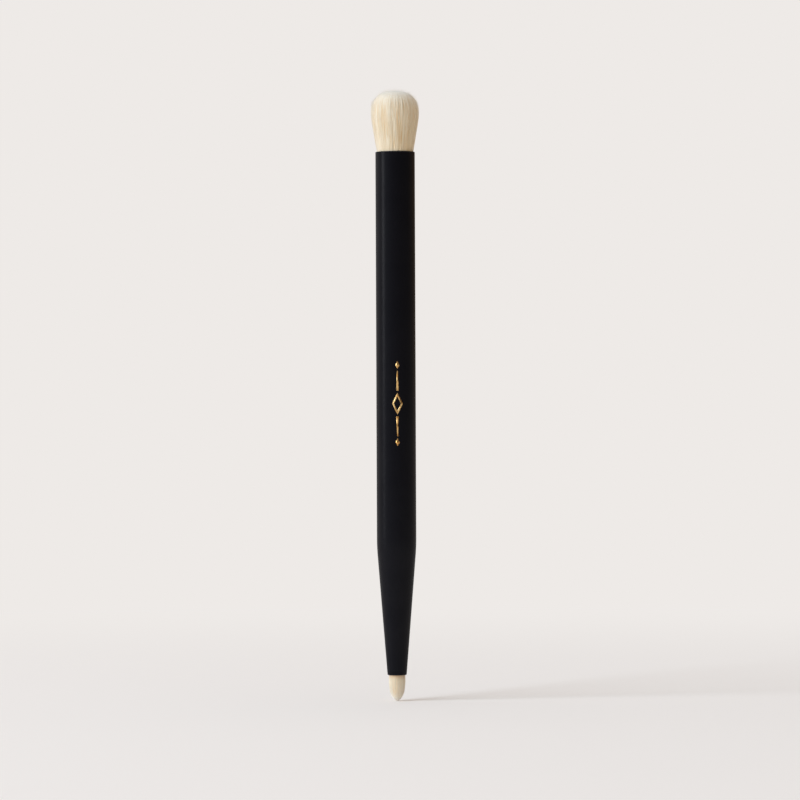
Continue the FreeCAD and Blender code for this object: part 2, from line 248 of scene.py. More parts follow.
def start_effect(
        effect: Effect, inputs: dict[str, Kind], outputs: dict[str, Kind],
        ) -> tuple[NodeSheet, bpy.types.NodeOutputs, Node]:
    """Start the node group of an effect.

    Args:
        effect: The effect.
        inputs: Kind of each named input.
        outputs: Kind of each named output.

    Returns:
        The group's sheet, the sockets of what it is given and the node that puts its results out.
    """
    tree = bpy.data.node_groups.new(effect.value, "ShaderNodeTree")
    for side, sockets in (("INPUT", inputs), ("OUTPUT", outputs)):
        for name, kind in sockets.items():
            tree.interface.new_socket(name, in_out=side, socket_type=kind.value)
    sheet = NodeSheet(tree)
    return sheet, sheet.add("NodeGroupInput").outputs, sheet.add("NodeGroupOutput")


def make_speckle() -> None:
    """Build the fine speckle and the slow mottle, both from 0 to 1."""
    sheet, given, results = start_effect(
        Effect.SPECKLE,
        {"Fine Scale": Kind.NUMBER, "Mottle Scale": Kind.NUMBER},
        {"Fine": Kind.NUMBER, "Mottle": Kind.NUMBER})
    place = sheet.place()
    mottle = sheet.noise(place, given["Mottle Scale"], detail=3.0)
    sheet.put(results, {
        "Fine": sheet.noise(place, given["Fine Scale"]),
        "Mottle": sheet.span(mottle, NOISE_RANGE),
    })


def make_drawn_grain() -> None:
    """Build the lines drawn out along the axis, as on drawn metal and split wood."""
    sheet, given, results = start_effect(
        Effect.DRAWN_GRAIN, {"Scale": Kind.NUMBER, "Stretch": Kind.NUMBER}, {"Lines": Kind.NUMBER})
    x, y, height = sheet.split(sheet.place())
    drawn = sheet.join(x, y, sheet.calc("DIVIDE", height, given["Stretch"]))
    lines = sheet.noise(drawn, given["Scale"], detail=3.0)
    sheet.put(results, {"Lines": sheet.span(lines, NOISE_RANGE)})


def make_fibre_tone() -> None:
    """Build the colour of a fibre from root to tip, with a tone of its own for each strip of the map."""
    sheet, given, results = start_effect(
        Effect.FIBRE_TONE,
        {"Root": Kind.TINT, "Middle": Kind.TINT, "Tip": Kind.TINT, "Spread": Kind.NUMBER},
        {"Tone": Kind.TINT})
    root_to_middle = (0.2, 0.5)
    middle_to_tip = (0.6, 1.0)
    across, along, _ = sheet.split(sheet.add("UVMap", uv_map=BAKE_MAP).outputs[0])
    strip = sheet.calc("FLOOR", sheet.calc("MULTIPLY", across, float(TONE_STRIPS)))
    own = sheet.add("TexWhiteNoise", {"W": strip}, noise_dimensions="1D").outputs[0]
    # Painted shade and light: on the small tuft the root colour is also painted shade under the barrel's rim,
    # and the paler tip colour is partly painted light on the crown.
    body = sheet.blend(sheet.span(along, root_to_middle), given["Root"], given["Middle"])
    lift = sheet.calc("MULTIPLY", sheet.calc("SUBTRACT", own, 0.5), given["Spread"])
    tinted = sheet.add("HueSaturation", {
        "Value": sheet.calc("ADD", lift, 1.0),
        "Saturation": sheet.calc("SUBTRACT", 1.0, lift),
        "Color": sheet.blend(sheet.span(along, middle_to_tip), body, given["Tip"]),
    })
    sheet.put(results, {"Tone": tinted.outputs[0]})


@dataclass(frozen=True, kw_only=True)
class Finish:
    """A finish that can be laid on a piece."""

    name: str

    def material(self) -> Material:
        """Build the finish.

        Returns:
            A material whose Principled shader the finish has filled in.
        """
        made = bpy.data.materials.new(self.name)
        made.use_nodes = True
        self.fill(NodeSheet(made.node_tree), made.node_tree.nodes["Principled BSDF"])
        return made

    def fill(self, sheet: NodeSheet, shader: Node) -> None:
        """Set the shader's sockets; each finish has its own way."""
        raise NotImplementedError


@dataclass(frozen=True, kw_only=True)
class TwoToneFinish(Finish):
    """A finish of two tones, whose gloss and relief follow its grain."""

    dark: Colour
    light: Colour
    roughness: Range
    relief: float
    relief_share: float = 1.0
    metallic: float = 0.0

    def lay(self, sheet: NodeSheet, shader: Node, tone: Socket, gloss: Socket, height: Socket) -> None:
        """Set the shader from the grain.

        Args:
            sheet: The material's nodes.
            shader: The Principled shader.
            tone: Mask of the light tone.
            gloss: Roughness.
            height: Relief from 0 to 1.
        """
        sheet.put(shader, {
            "Base Color": sheet.blend(tone, self.dark, self.light),
            "Roughness": gloss,
            "Normal": sheet.bump(height, self.relief, self.relief_share),
            "Metallic": self.metallic,
        })


@dataclass(frozen=True, kw_only=True)
class SpeckledFinish(TwoToneFinish):
    """A finish that is mottled in tone and speckled in gloss and relief."""

    fine: float
    mottle: float

    def fill(self, sheet: NodeSheet, shader: Node) -> None:
        """Set the tone from the mottle, and the rest from the speckle."""
        fine, mottle = sheet.speckle(self.fine, self.mottle)
        self.lay(sheet, shader, mottle, sheet.span(fine, NOISE_RANGE, self.roughness), fine)


@dataclass(frozen=True, kw_only=True)
class DrawnFinish(TwoToneFinish):
    """A finish with lines along the brush: scale is lines per metre across, stretch their length by width."""

    scale: float
    stretch: float

    def fill(self, sheet: NodeSheet, shader: Node) -> None:
        """Set tone, gloss and relief from the lines."""
        (lines,) = sheet.effect(Effect.DRAWN_GRAIN, {"Scale": self.scale, "Stretch": self.stretch})
        self.lay(sheet, shader, lines, sheet.span(lines, WHOLE_RANGE, self.roughness), lines)


GOLD_FOIL = SpeckledFinish(
    name="gold_foil", dark=srgb(214, 160, 92), light=srgb(240, 205, 142), roughness=(0.3, 0.42),
    relief=0.004 * MM, relief_share=0.4, metallic=1.0, fine=7000.0, mottle=900.0)
WAXED_THREAD = SpeckledFinish(
    name="waxed_thread", dark=srgb(196, 184, 160), light=srgb(232, 224, 206), roughness=(0.6, 0.8),
    relief=0.03 * MM, fine=16000.0, mottle=2600.0)
AMBER_RESIN = SpeckledFinish(
    name="amber_resin", dark=srgb(158, 104, 44), light=srgb(206, 158, 86), roughness=(0.14, 0.24),
    relief=0.01 * MM, relief_share=0.4, fine=5200.0, mottle=700.0)
TURNED_WOOD = DrawnFinish(
    name="turned_wood", dark=srgb(178, 136, 92), light=srgb(222, 190, 146), roughness=(0.75, 0.6),
    relief=0.03 * MM, scale=1400.0, stretch=24.0)
DRAWN_ALUMINIUM = DrawnFinish(
    name="drawn_aluminium", dark=srgb(190, 191, 194), light=srgb(226, 227, 229), roughness=(0.42, 0.28),
    relief=0.01 * MM, metallic=1.0, scale=5200.0, stretch=60.0)


@dataclass(frozen=True, kw_only=True)
class SoftBlackLacquer(Finish):
    """Matt black coating with a velvety grain, a little rubbed at both lips of the barrel."""

    mouth: float
    nose: float
    deep: Colour = (0.0021, 0.0021, 0.0043)
    lifted: Colour = (0.0034, 0.0034, 0.0064)
    rubbed: Colour = (0.016, 0.015, 0.016)
    lip_reach: float = 0.25 * MM
    fine: float = 9000.0
    mottle: float = 160.0
    roughness: Range = (0.56, 0.64)
    gloss: float = 0.02
    coat: Range = (0.21, 0.25)
    coat_roughness: float = 0.3
    relief: float = 0.006 * MM
    relief_share: float = 0.5

    def lip_rub(self, sheet: NodeSheet, patchy: Socket) -> Socket:
        """Mask of the rubbed lips.

        Args:
            sheet: The material's nodes.
            patchy: Socket of the mottle that breaks the rub up.

        Returns:
            The mask's socket, 1 where the coating is rubbed.
        """
        _, _, height = sheet.split(sheet.place())
        at_mouth = sheet.span(height, (self.mouth - self.lip_reach, self.mouth))
        at_nose = sheet.span(height, (self.nose + self.lip_reach, self.nose))
        return sheet.calc("MULTIPLY", sheet.calc("MAXIMUM", at_mouth, at_nose), patchy)

    def fill(self, sheet: NodeSheet, shader: Node) -> None:
        """Set a near-black grained coat whose gloss shifts a little with handling.

        Args:
            sheet: The material's nodes.
            shader: The Principled shader.
        """
        fine, mottle = sheet.speckle(self.fine, self.mottle)
        coat = sheet.blend(fine, self.deep, self.lifted)
        sheet.put(shader, {
            "Base Color": sheet.blend(self.lip_rub(sheet, mottle), coat, self.rubbed),
            "Roughness": sheet.span(mottle, WHOLE_RANGE, self.roughness),
            "Normal": sheet.bump(fine, self.relief, self.relief_share),
            "Specular IOR Level": self.gloss,
            "Coat Weight": sheet.span(mottle, WHOLE_RANGE, self.coat),
            "Coat Roughness": self.coat_roughness,
        })


@dataclass(frozen=True)
class BristleTones:
    """Colours of a tuft's bristle from root to tip, and of the painted shade between its clumps. The root
    colour is the fibres' warmer root and, on the small tuft, also painted shade under the barrel's rim; the tip
    colour is the fibres' paler tips and also painted light on the crown's end.
    """

    root: Colour
    middle: Colour
    tip: Colour
    shade: Colour


@dataclass(frozen=True, kw_only=True)
class CreamFibre(Finish):
    """Cream bristle: warm at the root, where the small tuft's root colour is also painted shade under the
    barrel's rim, and paler towards the tapered tip, partly painted light on the crown.
    """

    tones: BristleTones
    passed_light: float
    spread: float = 0.2
    roughness: float = 0.45
    gloss: float = 0.4

    def fill(self, sheet: NodeSheet, shader: Node) -> None:
        """Set the tone that each fibre reads from its own strip of the map, and let light pass through.

        Args:
            sheet: The material's nodes.
            shader: The Principled shader.
        """
        tones = self.tones
        (tone,) = sheet.effect(Effect.FIBRE_TONE, {
            "Root": tones.root, "Middle": tones.middle, "Tip": tones.tip, "Spread": self.spread,
        })
        sheet.put(shader, {
            "Base Color": tone, "Roughness": self.roughness, "Specular IOR Level": self.gloss,
        })
        sheet.show_mix(self.passed_light, shader, sheet.add("BsdfTranslucent", {"Color": tones.tip}))


@dataclass(frozen=True, kw_only=True)
class PackedFibre(Finish):
    """The closed mass of fibres inside a tuft, which shows between the loose ones."""

    tones: BristleTones
    mouth: float
    crown: float
    root_share: float = 0.2
    crown_share: float = 0.6
    ends_start: float = 0.66
    ends_full: float = 0.9
    ends_scale: float = 4200.0
    lines_scale: float = 14.0
    lines_rise: float = 12.0
    lines_detail: float = 4.0
    roughness: Range = (0.55, 0.45)
    relief: float = 0.08 * MM
    gloss: float = 0.4
    sheen: float = 1.0
    sheen_roughness: float = 0.5

    def up_to(self, share: float) -> float:
        """Height at a share of the way from the barrel's end to the crown."""
        return self.mouth + share * (self.crown - self.mouth)

    def along(self, sheet: NodeSheet, height: Socket, grain: Socket) -> Socket:
        """Tone of the mass from the barrel's end to the crown.

        Args:
            sheet: The material's nodes.
            height: Socket of the height.
            grain: Socket of the strands, 0 in the shade between them and 1 on them.

        Returns:
            The socket of the tone: warmer at the barrel, where the small tuft's root colour is also painted
                shade under the rim, and paler at the crown, partly painted light on the crown's end.
        """
        # Painted shade: towards the barrel's end the mass blends to the root colour, which on the small tuft is
        # partly shade under the rim.
        near_root = sheet.span(height, (self.up_to(self.root_share), self.mouth))
        # Partly painted light: towards the crown the mass turns to the paler tip colour, which stands partly
        # for light on the crown's end.
        near_crown = sheet.span(height, (self.up_to(self.crown_share), self.crown))
        strand = sheet.blend(grain, self.tones.shade, self.tones.middle)
        rooted = sheet.blend(near_root, strand, self.tones.root)
        return sheet.blend(near_crown, rooted, sheet.blend(grain, self.tones.middle, self.tones.tip))

    def fibre_ends(self, sheet: NodeSheet, across: Socket, height: Socket, lines: Socket) -> Socket:
        """Turn the lines of the flank into fibre ends on top of the crown.

        Args:
            sheet: The material's nodes.
            across: Socket of the place across the axis.
            height: Socket of the height.
            lines: Socket of the flank's lines.

        Returns:
            The socket of the whole grain.
        """
        ends = sheet.span(sheet.noise(across, self.ends_scale), NOISE_RANGE)
        on_top = sheet.span(height, (self.up_to(self.ends_start), self.up_to(self.ends_full)))
        return sheet.calc("ADD", lines, sheet.calc("MULTIPLY", on_top, sheet.calc("SUBTRACT", ends, lines)))

    def fill(self, sheet: NodeSheet, shader: Node) -> None:
        """Set lines of shade and fibre that run from the root to the crown.

        Args:
            sheet: The material's nodes.
            shader: The Principled shader.
        """
        x, y, height = sheet.split(sheet.place())
        across = sheet.join(x, y)
        bearing = sheet.add("VectorMath", {0: across}, operation="NORMALIZE").outputs[0]
        bearing_x, bearing_y, _ = sheet.split(bearing)
        spot = sheet.join(bearing_x, bearing_y, sheet.calc("MULTIPLY", height, self.lines_rise))
        lines = sheet.span(sheet.noise(spot, self.lines_scale, self.lines_detail), NOISE_RANGE)
        grain = self.fibre_ends(sheet, across, height, lines)
        sheet.put(shader, {
            "Base Color": self.along(sheet, height, grain),
            "Roughness": sheet.span(grain, WHOLE_RANGE, self.roughness),
            "Normal": sheet.bump(grain, self.relief),
            "Specular IOR Level": self.gloss,
            "Sheen Weight": self.sheen,
            "Sheen Roughness": self.sheen_roughness,
        })


@dataclass(frozen=True, kw_only=True)
class StudioPaper(Finish):
    """Matt paper that fades into the backdrop far from the brush.

    The light that it throws back at the brush is warm, except from close by the tip.
    """

    backdrop: Colour
    paper: Colour = srgb(242, 237, 233)
    warm_paper: Colour = srgb(240, 214, 172)
    lift: float = 1.01
    fine: float = 900.0
    mottle: float = 6.0
    roughness: Range = (0.85, 0.95)
    gloss: float = 0.1
    bounce: Range = (0.04, 0.2)
    fade: Range = (0.22, 0.55)
    fade_centre: Triple = (0.0, -0.2, 0.0)

    def fill(self, sheet: NodeSheet, shader: Node) -> None:
        """Set the paper's own tone, and the backdrop's colour where the paper is seen far off.

        Args:
            sheet: The material's nodes.
            shader: The Principled shader.
        """
        fine, mottle = sheet.speckle(self.fine, self.mottle)
        lighter = tuple(min(1.0, level * self.lift) for level in self.paper)
        ray = sheet.add("LightPath").outputs
        place = sheet.place()
        from_tip = sheet.add("VectorMath", {0: place}, operation="LENGTH").outputs["Value"]
        thrown = sheet.calc("MULTIPLY", sheet.span(from_tip, self.bounce), ray["Is Diffuse Ray"])
        sheet.put(shader, {
            "Base Color": sheet.blend(thrown, sheet.blend(fine, self.paper, lighter), self.warm_paper),
            "Roughness": sheet.span(mottle, WHOLE_RANGE, self.roughness),
            "Specular IOR Level": self.gloss,
        })
        away = sheet.add("VectorMath", {0: place, 1: self.fade_centre}, operation="DISTANCE").outputs["Value"]
        looks = sheet.calc("MAXIMUM", ray["Is Camera Ray"], ray["Is Transmission Ray"])
        seen = sheet.calc("MAXIMUM", looks, ray["Is Glossy Ray"])
        faded = sheet.calc("MULTIPLY", sheet.span(away, self.fade), seen)
        sheet.show_mix(faded, shader, sheet.add("Emission", {"Color": self.backdrop}))


def put_in_scene(data: bpy.types.ID) -> bpy.types.Object:
    """Put something into the scene as an object of the same name.

    Args:
        data: A mesh, curve, camera or lamp.

    Returns:
        The new object.
    """
    made = bpy.data.objects.new(data.name, data)
    bpy.context.scene.collection.objects.link(made)
    return made


def add_piece(mesh: Mesh, finish: Material, stands_for: str | None = None) -> bpy.types.Object:
    """Put a mesh into the scene as a piece of the brush.

    Args:
        mesh: The piece's mesh, named as the piece.
        finish: Its material.
        stands_for: The CAD node that the piece replaces, if any.

    Returns:
        The piece, riding on the brush's one body.
    """
    piece = put_in_scene(mesh)
    mesh.materials.clear()
    mesh.materials.append(finish)
    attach(piece, BODY)
    if stands_for:
        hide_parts(stands_for)
    log.info("%s: %d faces", piece.name, len(mesh.polygons))
    return piece


def to_mesh(bm: BMesh, name: str) -> Mesh:
    """Turn a bmesh into a smooth-shaded mesh and free it.

    Args:
        bm: The finished bmesh.
        name: Name of the mesh.

    Returns:
        The new mesh.
    """
    for face in bm.faces:
        face.smooth = True
    mesh = bpy.data.meshes.new(name)
    bm.to_mesh(mesh)
    bm.free()
    return mesh


def weld(bm: BMesh, reach: float) -> None:
    """Merge vertices within reach of each other, and turn the faces outwards."""
    bmesh.ops.remove_doubles(bm, verts=bm.verts[:], dist=reach)
    bmesh.ops.recalc_face_normals(bm, faces=bm.faces[:])


def spin_section(corners: list[tuple[float, float]], steps: int, closed: bool) -> BMesh:
    """Spin a half section about the axis.

    Args:
        corners: Radius and height of each corner, in order.
        steps: Number of facets round the axis.
        closed: Whether the last corner joins the first.

    Returns:
        A bmesh with merged seam and poles and outward normals.
    """
    bm = bmesh.new()
    points = [bm.verts.new((radius, 0.0, height)) for radius, height in corners]
    ends = points[1:] + points[:1] if closed else points[1:]
    edges = [bm.edges.new(pair) for pair in zip(points, ends)]
    bmesh.ops.spin(
        bm, geom=points + edges, cent=ORIGIN, axis=AXIS, angle=FULL_TURN, steps=steps, use_merge=True)
    weld(bm, SEAM_WELD)
    return bm


def round_ring(bm: BMesh, radius: float, height: float, setback: float, segments: int) -> None:
    """Round one ring of edges of a spun shape.

    Args:
        bm: The spun bmesh.
        radius: Radius of the ring.
        height: Height of the ring.
        setback: How far the rounding reaches from the ring along each face.
        segments: Number of facets across the rounding.
    """
    def on_ring(vert: bmesh.types.BMVert) -> bool:
        """Whether a vertex lies on the ring."""
        return abs(vert.co.z - height) < RING_REACH and abs(vert.co.xy.length - radius) < RING_REACH

    ring = [edge for edge in bm.edges if all(on_ring(vert) for vert in edge.verts)]
    bmesh.ops.bevel(
        bm, geom=ring, offset=setback, offset_type="OFFSET", affect="EDGES", segments=segments, profile=0.5,
        material=-1)


def cut_through(bm: BMesh, place: Triple, normal: Triple, snap: float = 0.0) -> None:
    """Cut edges into a shape along a plane; a vertex nearer to the plane than snap counts as on it."""
    bmesh.ops.bisect_plane(
        bm, geom=bm.verts[:] + bm.edges[:] + bm.faces[:], dist=snap, plane_co=place, plane_no=normal)


@dataclass
class BarrelShell:
    """The drawn tube: straight from the mouth to the shoulder, then tapering to the nose."""

    node: str = "barrel"
    taper_length: float = 27.05 * MM
    nose_radius: float = 2.02 * MM
    wall: float = 0.25 * MM
    nose_wall: float = 0.3 * MM
    shoulder_setback: float = 1.57 * MM
    mouth_lip: float = 0.1 * MM
    nose_lip: float = 0.18 * MM
    past_lip: float = 1.6
    past_shoulder: float = 1.1
    facets: int = 144
    lip_segments: int = 5
    shoulder_segments: int = 8

    def __post_init__(self) -> None:
        """Read the tube's ends and radius from its CAD node."""
        self.nose = low(self.node)
        self.mouth = high(self.node)
        self.radius = girth(self.node)
        self.shoulder = self.nose + self.taper_length

    def shape(self) -> BMesh:
        """Spin the tube's wall and round its lips and shoulder.

        Level cuts beside the roundings keep the shading of the long faces true.

        Returns:
            The finished bmesh.
        """
        bore = self.radius - self.wall
        nose_bore = self.nose_radius - self.nose_wall
        bm = spin_section([
            (self.nose_radius, self.nose),
            (self.radius, self.shoulder),
            (self.radius, self.mouth),
            (bore, self.mouth),
            (bore, self.shoulder),
            (nose_bore, self.nose),
        ], self.facets, closed=True)
        round_ring(bm, self.radius, self.shoulder, self.shoulder_setback, self.shoulder_segments)
        round_ring(bm, self.radius, self.mouth, self.mouth_lip, self.lip_segments)
        round_ring(bm, self.nose_radius, self.nose, self.nose_lip, self.lip_segments)
        for height in (
                self.mouth - self.past_lip * self.mouth_lip,
                self.nose + self.past_lip * self.nose_lip,
                self.shoulder - self.past_shoulder * self.shoulder_setback,
                self.shoulder + self.past_shoulder * self.shoulder_setback,
        ):
            cut_through(bm, (0, 0, height), AXIS, CUT_SNAP)
        return bm

    def build(self) -> None:
        """Make the tube, dress it in black and let it stand for the CAD node."""
        finish = SoftBlackLacquer(name="soft_black_lacquer", mouth=self.mouth, nose=self.nose).material()
        add_piece(to_mesh(self.shape(), "barrel_shell"), finish, self.node)


@dataclass
class FoilOrnament:
    """A swelled rule pressed in foil along the barrel.

    It has a pierced lozenge in the middle, two lines that thin outwards and a small lozenge at each end.
    """

    barrel_radius: float
    middle_height: float = 62.65 * MM
    length: float = 17.9 * MM
    lozenge_width: float = 2.3 * MM
    lozenge_length: float = 4.6 * MM
    lozenge_rim: float = 0.36 * MM
    end_width: float = 0.9 * MM
    end_length: float = 1.7 * MM
    line_width: float = 0.5 * MM
    line_end_width: float = 0.22 * MM
    gap: float = 0.4 * MM
    turn: float = math.radians(4.2)
    sunk: float = 0.006 * MM
    proud: float = 0.012 * MM
    columns: int = 6

    @staticmethod
    def add_lozenge(bm: BMesh, width: float, length: float, along: float) -> bmesh.types.BMFace:
        """Add one lozenge.

        Args:
            bm: The flat ornament.
            width: Width across the rule.
            length: Length along the rule.
            along: Place of its middle along the rule.

        Returns:
            The lozenge's face.
        """
        made = bmesh.ops.create_circle(bm, cap_ends=True, segments=4, radius=0.5)["verts"]
        bmesh.ops.scale(bm, vec=(width, length, 1.0), verts=made)
        bmesh.ops.translate(bm, vec=(0.0, along, 0.0), verts=made)
        return made[0].link_faces[0]

    def pierce(self, bm: BMesh, face: bmesh.types.BMFace) -> None:
        """Cut the middle out of a lozenge.

        Args:
            bm: The flat ornament.
            face: The lozenge's face.
        """
        bm.normal_update()
        bmesh.ops.inset_region(
            bm, faces=[face], thickness=self.lozenge_rim, use_even_offset=True, use_boundary=True)
        bmesh.ops.delete(bm, geom=[face], context="FACES")

    def add_line(self, bm: BMesh, start: float, end: float) -> None:
        """Add one line that thins towards its end.

        Args:
            bm: The flat ornament.
            start: Place of the wide end along the rule.
            end: Place of the thin end.
        """
        made = bmesh.ops.create_grid(bm, x_segments=1, y_segments=1, size=0.5)["verts"]
        for vert in made:
            share = vert.co.y + 0.5
            vert.co.x *= self.line_width + (self.line_end_width - self.line_width) * share
            vert.co.y = start + (end - start) * share

    def wrap(self, bm: BMesh) -> None:
        """Wrap the ornament round the front of the barrel.

        Args:
            bm: The ornament, flat, with its length along Y.
        """
        radius = self.barrel_radius - self.sunk
        for vert in bm.verts:
            angle = self.turn + vert.co.x / self.barrel_radius
            height = self.middle_height + vert.co.y
            vert.co = (radius * math.sin(angle), -radius * math.cos(angle), height)

    def shape(self) -> BMesh:
        """Lay the ornament out flat, wrap it round the barrel and give it thickness.

        Returns:
            The finished bmesh.
        """
        bm = bmesh.new()
        self.pierce(bm, self.add_lozenge(bm, self.lozenge_width, self.lozenge_length, 0.0))
        end_place = (self.length - self.end_length) / 2
        line_start = self.lozenge_length / 2 + self.gap
        line_end = end_place - self.end_length / 2 - self.gap
        for side in (1, -1):
            self.add_line(bm, side * line_start, side * line_end)
            self.add_lozenge(bm, self.end_width, self.end_length, side * end_place)
        half = self.lozenge_width / 2
        for column in range(1, self.columns):
            place = -half + 2 * half * column / self.columns
            cut_through(bm, (place, 0, 0), (1, 0, 0))
        self.wrap(bm)
        bm.normal_update()
        inward = [face for face in bm.faces if face.normal.xy.dot(face.calc_center_median().xy) < 0]
        bmesh.ops.reverse_faces(bm, faces=inward)
        bmesh.ops.solidify(bm, geom=bm.faces[:], thickness=-(self.sunk + self.proud))
        return bm

    def build(self) -> None:
        """Make the ornament and dress it in gold."""
        add_piece(to_mesh(self.shape(), "foil_swelled_rule"), GOLD_FOIL.material())


def smooth_curve(knots: list[tuple[float, float]], at: np.ndarray) -> np.ndarray:
    """Smooth curve through a few knots.

    Args:
        knots: Place and value of each knot, in order of place.
        at: Places to read.

    Returns:
        The value at each place, on cubic pieces whose slopes come from the neighbouring knots.
    """
    places, values = (np.array(column) for column in zip(*knots))
    slopes = np.gradient(values, places)
    piece = np.clip(np.searchsorted(places, at) - 1, 0, len(places) - 2)
    wide = places[piece + 1] - places[piece]
    share = np.clip((at - places[piece]) / wide, 0.0, 1.0)
    back = 1 - share
    return (
        values[piece] * back ** 2 * (1 + 2 * share)
        + values[piece + 1] * share ** 2 * (1 + 2 * back)
        + slopes[piece] * wide * share * back ** 2
        - slopes[piece + 1] * wide * share ** 2 * back
    )


@dataclass
class FibreTuft:
    """A tuft of tapered fibres that run from the bound root through the barrel's end to a shaped crown."""

    node: str
    binding: str
    pointing: Pointing
    crown_fibres: int
    flank_fibres: int
    fibre_radius: float
    clumps: int
    clump_pull: float
    bend: float
    crown_drop: float
    crown_power: float
    silhouette: list[tuple[float, float]]
    mouth: float
    free_points: int
    seed: int
    tones: BristleTones
    heart_sink: float
    heart_inset: float
    ridge_depth: float
    ridge_counts: tuple[int, ...]
    crown_glow: float = 0.9
    flank_glow: float = 0.45
    inner_share: float = 0.97
    heart_share: float = 0.99
    heart_rings: int = 24
    heart_facets: int = 288
    root_cap: float = 0.1 * MM
    clump_power: float = 1.4
    taper_start: float = 0.45
    taper_power: float = 1.6
    map_margin: float = 0.05
    sides: int = 3

    def __post_init__(self) -> None:
        """Read the tuft's ends and its tied waist from the CAD nodes."""
        ends = low(self.node), high(self.node)
        self.root, self.crown = ends if self.pointing is Pointing.UP else ends[::-1]
        self.length = abs(self.crown - self.root)
        self.outline = [(0.0, girth(self.binding) - THREAD_WIDTH), *self.silhouette]

    def height_at(self, travel: np.ndarray | float) -> np.ndarray | float:
        """Height of a place at a distance from the root."""
        return self.root + self.pointing.value * travel

    def ridges(self, angle: np.ndarray, travel: np.ndarray) -> np.ndarray:
        """How far the clumped fibres stand out round the tuft's girth.

        Args:
            angle: Bearing of each place about the axis.
            travel: Distance of each place from the root.

        Returns:
            The factor on the radius, 1 at the tied root.
        """
        random = np.random.default_rng(self.seed)
        starts = random.uniform(0.0, FULL_TURN, len(self.ridge_counts))
        waves = [np.sin(count * angle + start) for count, start in zip(self.ridge_counts, starts)]
        return 1 + self.ridge_depth * np.mean(waves, axis=0) * np.clip(travel / self.mouth, 0.0, 1.0)

    def scatter(self, random: np.random.Generator) -> np.ndarray:
        """Spread the crown's fibres evenly over a unit disc, and the flank's fibres just inside its rim.

        Args:
            random: Source of the draws.

        Returns:
            The two disc coordinates of each fibre, those of the crown first.
        """
        count = self.crown_fibres + self.flank_fibres
        share = np.sqrt(random.uniform(0.0, 1.0, count))
        on_flank = np.arange(count) >= self.crown_fibres
        share = np.where(on_flank, 1 - self.heart_inset * share, self.inner_share * share)
        angle = random.uniform(0.0, FULL_TURN, count)
        return np.stack([share * np.cos(angle), share * np.sin(angle)], axis=1)

    def dome(self, reach: np.ndarray) -> np.ndarray:
        """Drop of the crown's surface below its top, at each share of the girth from axis to rim."""
        return self.crown_drop * (1 - np.sqrt(1 - np.minimum(reach, 1.0) ** self.crown_power))

    def paths(self) -> tuple[np.ndarray, np.ndarray, np.ndarray]:
        """Work out every fibre's line.

        Returns:
            The points of each fibre, each point's share of the fibre's full radius, and each fibre's clump.
        """
        random = np.random.default_rng(self.seed)
        disc = self.scatter(random)
        count = len(disc)
        anchors = disc[: self.clumps]
        nearest = np.argmin(np.linalg.norm(disc[:, None] - anchors[None], axis=2), axis=1)
        reach = np.linalg.norm(disc, axis=1)
        short = self.heart_sink * np.sqrt(random.uniform(0.0, 1.0, count))
        tips = self.length - self.dome(reach) - short
        lean = random.normal(0.0, self.bend, (count, 2))
        free = np.linspace(0.0, 1.0, self.free_points)
        travel = np.concatenate([
            np.broadcast_to([0.0, self.root_cap], (count, 2)),
            self.mouth + free[None] * (tips[:, None] - self.mouth),
        ], axis=1)
        share = np.concatenate([[0.0, 0.0], free])
        pull = self.clump_pull * share ** self.clump_power
        spread = disc[:, None] + (anchors[nearest] - disc)[:, None] * pull[None, :, None]
        spread = spread + lean[:, None] * (share ** 2)[None, :, None]
        angle = np.arctan2(disc[:, 1], disc[:, 0])
        radius = smooth_curve(self.outline, travel) * self.ridges(angle[:, None], travel)
        across = spread * radius[:, :, None]
        height = self.height_at(travel)
        taper = 1 - np.clip((share - self.taper_start) / (1 - self.taper_start), 0.0, 1.0) ** self.taper_power
        taper[0] = 0.0
        return np.concatenate([across, height[:, :, None]], axis=2), taper, nearest

    def section(self) -> bpy.types.Object:
        """Small closed outline that is swept along each fibre, turned so that a flat side looks outwards.

        Returns:
            A curve object that is not in the scene.
        """
        start = QUARTER_TURN - math.pi / self.sides
        curve = bpy.data.curves.new("fibre_section", "CURVE")
        outline = curve.splines.new("POLY")
        outline.points.add(self.sides - 1)
        for side, point in enumerate(outline.points):
            angle = -start - FULL_TURN * side / self.sides
            point.co = (self.fibre_radius * math.cos(angle), self.fibre_radius * math.sin(angle), 0.0, 1.0)
        outline.use_cyclic_u = True
        return bpy.data.objects.new(curve.name, curve)

    def sweep(self, name: str, points: np.ndarray, taper: np.ndarray, clump: np.ndarray) -> Mesh:
        """Sweep the section along a set of fibres.

        Args:
            name: Name of the mesh.
            points: The points of each fibre.
            taper: Each point's share of the full radius.
            clump: Number of the clump that each fibre belongs to.

        Returns:
            One mesh of closed fibres with a bake map.
        """
        section = self.section()
        curve = bpy.data.curves.new(name, "CURVE")
        curve.dimensions = "3D"
        curve.bevel_mode = "OBJECT"
        curve.bevel_object = section
        count = points.shape[1]
        flat = np.concatenate([points, np.ones((*points.shape[:2], 1))], axis=2).astype(np.float32)
        widths = taper.astype(np.float32)
        for line in flat:
            spline = curve.splines.new("POLY")
            spline.points.add(count - 1)
            spline.points.foreach_set("co", line.ravel())
            spline.points.foreach_set("radius", widths)
            spline.use_smooth = True
        holder = put_in_scene(curve)
        bpy.context.view_layer.update()
        shaped = holder.evaluated_get(bpy.context.evaluated_depsgraph_get())
        mesh = bpy.data.meshes.new_from_object(shaped)
        for spare, data in ((holder, curve), (section, section.data)):
            bpy.data.objects.remove(spare)
            bpy.data.curves.remove(data)
        mesh.name = name
        self.map_strips(mesh, clump)
        self.close_ends(mesh)
        return mesh

